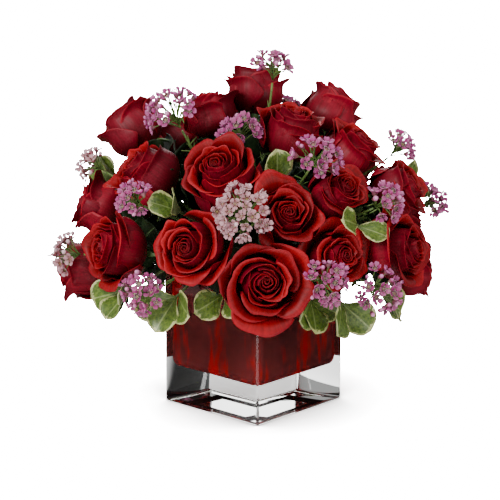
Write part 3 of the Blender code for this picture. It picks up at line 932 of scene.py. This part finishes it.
def area_light(name, place, size, power, target):
    light = bpy.data.lights.new(name, "AREA")
    light.size, light.energy = size, power
    obj = bpy.data.objects.new(name, light)
    obj.location = place
    obj.rotation_euler = (Vector(target) - Vector(place)).to_track_quat("-Z", "Y").to_euler()
    bpy.context.scene.collection.objects.link(obj)


def build_lights():
    world = bpy.data.worlds.new("studio")
    bpy.context.scene.world = world
    s = Nodes(world)
    paths = s.node("ShaderNodeLightPath").outputs
    way = s.node("ShaderNodeTexCoord").outputs["Generated"]
    aim_x, aim_y, _ = s.node("ShaderNodeSeparateXYZ", {"Vector": way}).outputs
    # painted shade: the sky seen through the glass is near-black in this direction
    toward = s.math("ADD", s.math("MULTIPLY", aim_x, DARK_PATCH_WAY[0]), s.math("MULTIPLY", aim_y, DARK_PATCH_WAY[1]))
    painted_dark_patch = s.math("MULTIPLY", s.between(toward, 0.72, 0.82), paths["Is Transmission Ray"])
    glow = s.mix(painted_dark_patch, (0.42, 0.42, 0.42), (0.01, 0.01, 0.01))
    glow = s.mix(paths["Is Camera Ray"], glow, WHITE)
    background = s.node("ShaderNodeBackground", {"Color": glow})
    s.tree.links.new(background.outputs[0], s.node("ShaderNodeOutputWorld").inputs["Surface"])
    for name, place, size, power in LIGHTS:
        area_light(name, place, size, power, LIGHT_TARGET)


def build_camera():
    a, e = math.radians(CAMERA_AZIMUTH), math.radians(CAMERA_ELEVATION)
    back = Vector((math.sin(a) * math.cos(e), -math.cos(a) * math.cos(e), math.sin(e)))
    right = Vector((math.cos(a), math.sin(a), 0.0))
    target = right * AIM_SIDE + Vector((0, 0, AIM_HEIGHT))
    data = bpy.data.cameras.new("camera")
    data.lens, data.sensor_width = CAMERA_LENS, 36.0
    camera = bpy.data.objects.new("camera", data)
    camera.location = target + back * CAMERA_DISTANCE
    camera.rotation_euler = (-back).to_track_quat("-Z", "Y").to_euler()
    bpy.context.scene.collection.objects.link(camera)
    bpy.context.scene.camera = camera


def build_flowers():
    petal = petal_material()
    stem = green_material("rose_stem", (0.035, 0.085, 0.020), (0.095, 0.170, 0.045), 0.45)
    # painted shade: the rose leaves are near-black so that they read as the shade between the blooms
    shade_dark_rose_leaf = green_material("shade_dark_rose_leaf", (0.006, 0.014, 0.005), (0.020, 0.042, 0.012), 0.42)
    needles = green_material("waxflower_needle", (0.045, 0.110, 0.018), (0.170, 0.260, 0.060), 0.45)
    stamens = green_material("waxflower_stamen", (0.70, 0.56, 0.50), (0.85, 0.75, 0.70), 0.5)
    pink = [
        wax_petal_material("waxflower_petal", False),
        wax_cup_material("waxflower_cup", (0.13, 0.004, 0.03), (0.030, 0.001, 0.008)),
        needles,
        stamens,
    ]
    pale = [
        wax_petal_material("waxflower_petal_pale", True),
        wax_cup_material("waxflower_cup_rust", (0.30, 0.06, 0.02), (0.10, 0.015, 0.006)),
        needles,
        stamens,
    ]
    twig = green_material("pittosporum_twig", (0.06, 0.08, 0.02), (0.16, 0.19, 0.07), 0.5)
    leaves = [leaf_material(), twig]
    for node in sorted(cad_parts):
        kind, _, number = node.rpartition("_")
        if kind == "rose":
            rose(node, int(number), [petal, stem, shade_dark_rose_leaf])
        elif kind == "waxflower":
            head = Head(node, CLUSTER_APEX, CLUSTER_HALF)
            flowers = int(8 + 10 * (head.width / (30 * MM)) ** 2)
            if int(number) == FULLEST_CLUSTER:
                flowers = FULLEST_FLOWERS
            waxflower(node, int(number), pale if int(number) in PALE_CLUSTERS else pink, flowers)
        elif kind == "pittosporum":
            pittosporum(node, int(number), leaves)


def rounded_square(half, radius, z, steps=6):
    """The plan of the vase at one level: points round a square with rounded corners."""
    points = []
    for corner in range(4):
        for k in range(steps + 1):
            a = (math.pi / 2) * (corner + k / steps)
            middle = math.pi / 4 + corner * math.pi / 2
            inset = (half - radius) * math.sqrt(2)
            x = inset * math.cos(middle) + radius * math.cos(a)
            points.append((x, inset * math.sin(middle) + radius * math.sin(a), z))
    return points


EDGE = 1.4 * MM  # radius of the vase's bottom edge
CORNER = 1.6 * EDGE  # radius of its upright corners
WALL, BASE_THICK = 4.5 * MM, 30.0 * MM  # as in the CAD
CUP_CORNER, CUP_FILLET = 6.0 * MM, 7.0 * MM
RUBY_THICK = 1.2 * MM


def rounded_rim(outer, inner, corner_out, corner_in, z, steps=4):
    """Rings over a rim, from the outer wall to the inner, round in section."""
    rows = []
    r = 0.5 * (outer - inner)
    for k in range(1, steps):
        a = math.pi * k / steps
        t = k / steps
        half = 0.5 * (outer + inner) + r * math.cos(a)
        rows.append((half, corner_out + (corner_in - corner_out) * t, z - r + r * math.sin(a)))
    return rows


def cup_floor(half, corner, floor, fillet, steps=7):
    """Rings from near the middle of a floor out and up its fillet."""
    rows = [(half - fillet, max(corner - fillet, 1.0 * MM), floor)]
    for k in range(1, steps + 1):
        a = (math.pi / 2) * k / steps
        inset = fillet * (1 - math.sin(a))
        rows.append((half - inset, max(corner - inset, 1.0 * MM), floor + fillet * (1 - math.cos(a))))
    return rows


def ring_solid(name, rows, materials, inside_from):
    """A closed body through square rings. Faces from ring inside_from on take the second material."""
    verts, faces, slots = [], [], []
    for row in rows:
        verts += rounded_square(*row)
    n = len(verts) // len(rows)
    for k in range(len(rows) - 1):
        for i in range(n):
            j = (i + 1) % n
            faces.append((k * n + i, k * n + j, (k + 1) * n + j, (k + 1) * n + i))
            slots.append(int(k >= inside_from))
    faces.append(tuple(range(n))[::-1])
    slots.append(0)
    faces.append(tuple(range((len(rows) - 1) * n, len(rows) * n)))
    slots.append(1)
    mesh = bpy.data.meshes.new(name)
    mesh.from_pydata(verts, [], faces)
    for made in materials:
        mesh.materials.append(made)
    mesh.polygons.foreach_set("material_index", slots)
    mesh.shade_smooth()
    mesh.set_sharp_from_angle(angle=math.radians(32))
    obj = bpy.data.objects.new(name, mesh)
    bpy.context.scene.collection.objects.link(obj)
    return obj


def build_vase():
    half, height = VASE_HIGH.x, VASE_HIGH.z
    cavity = half - WALL
    rim_in = half - EDGE - 2 * MM
    outside = [(rim_in - 2 * MM, CORNER, FOOT_RECESS), (rim_in, CORNER, 0.0)]
    for k in range(4):
        a = (math.pi / 2) * k / 3
        outside.append((half - EDGE * (1 - math.sin(a)), CORNER, EDGE * (1 - math.cos(a))))
    outside.append((half, CORNER, height - 0.5 * WALL))
    rim = rounded_rim(half, cavity, CORNER, CUP_CORNER, height)
    inside = [(cavity, CUP_CORNER, height - 0.5 * WALL)]
    inside += cup_floor(cavity, CUP_CORNER, BASE_THICK, CUP_FILLET)[::-1]
    materials = [clear_glass_material(), cup_face_material()]
    glass = ring_solid("vase_glass_body", outside + rim + inside, materials, len(outside + rim))
    settle(glass, ["vase_glass"])

    shell, floor, top = RUBY_HIGH.x, RUBY_LOW.z, RUBY_HIGH.z
    gap = cavity - shell
    corner, fillet = CUP_CORNER - gap, CUP_FILLET - gap
    outside = cup_floor(shell, corner, floor, fillet) + [(shell, corner, top - 0.5 * RUBY_THICK)]
    within = shell - RUBY_THICK
    rim = rounded_rim(shell, within, corner, corner - RUBY_THICK, top)
    inside = [(within, corner - RUBY_THICK, top - 0.5 * RUBY_THICK)]
    inside += cup_floor(within, corner - RUBY_THICK, floor + RUBY_THICK, fillet - RUBY_THICK)[::-1]
    ruby = ruby_glass_material()
    cup = ring_solid("ruby_lining_cup", outside + rim + inside, [ruby, ruby], len(outside + rim))
    settle(cup, ["ruby_lining"])


build_camera()
build_stage()
build_lights()
build_vase()
build_flowers()
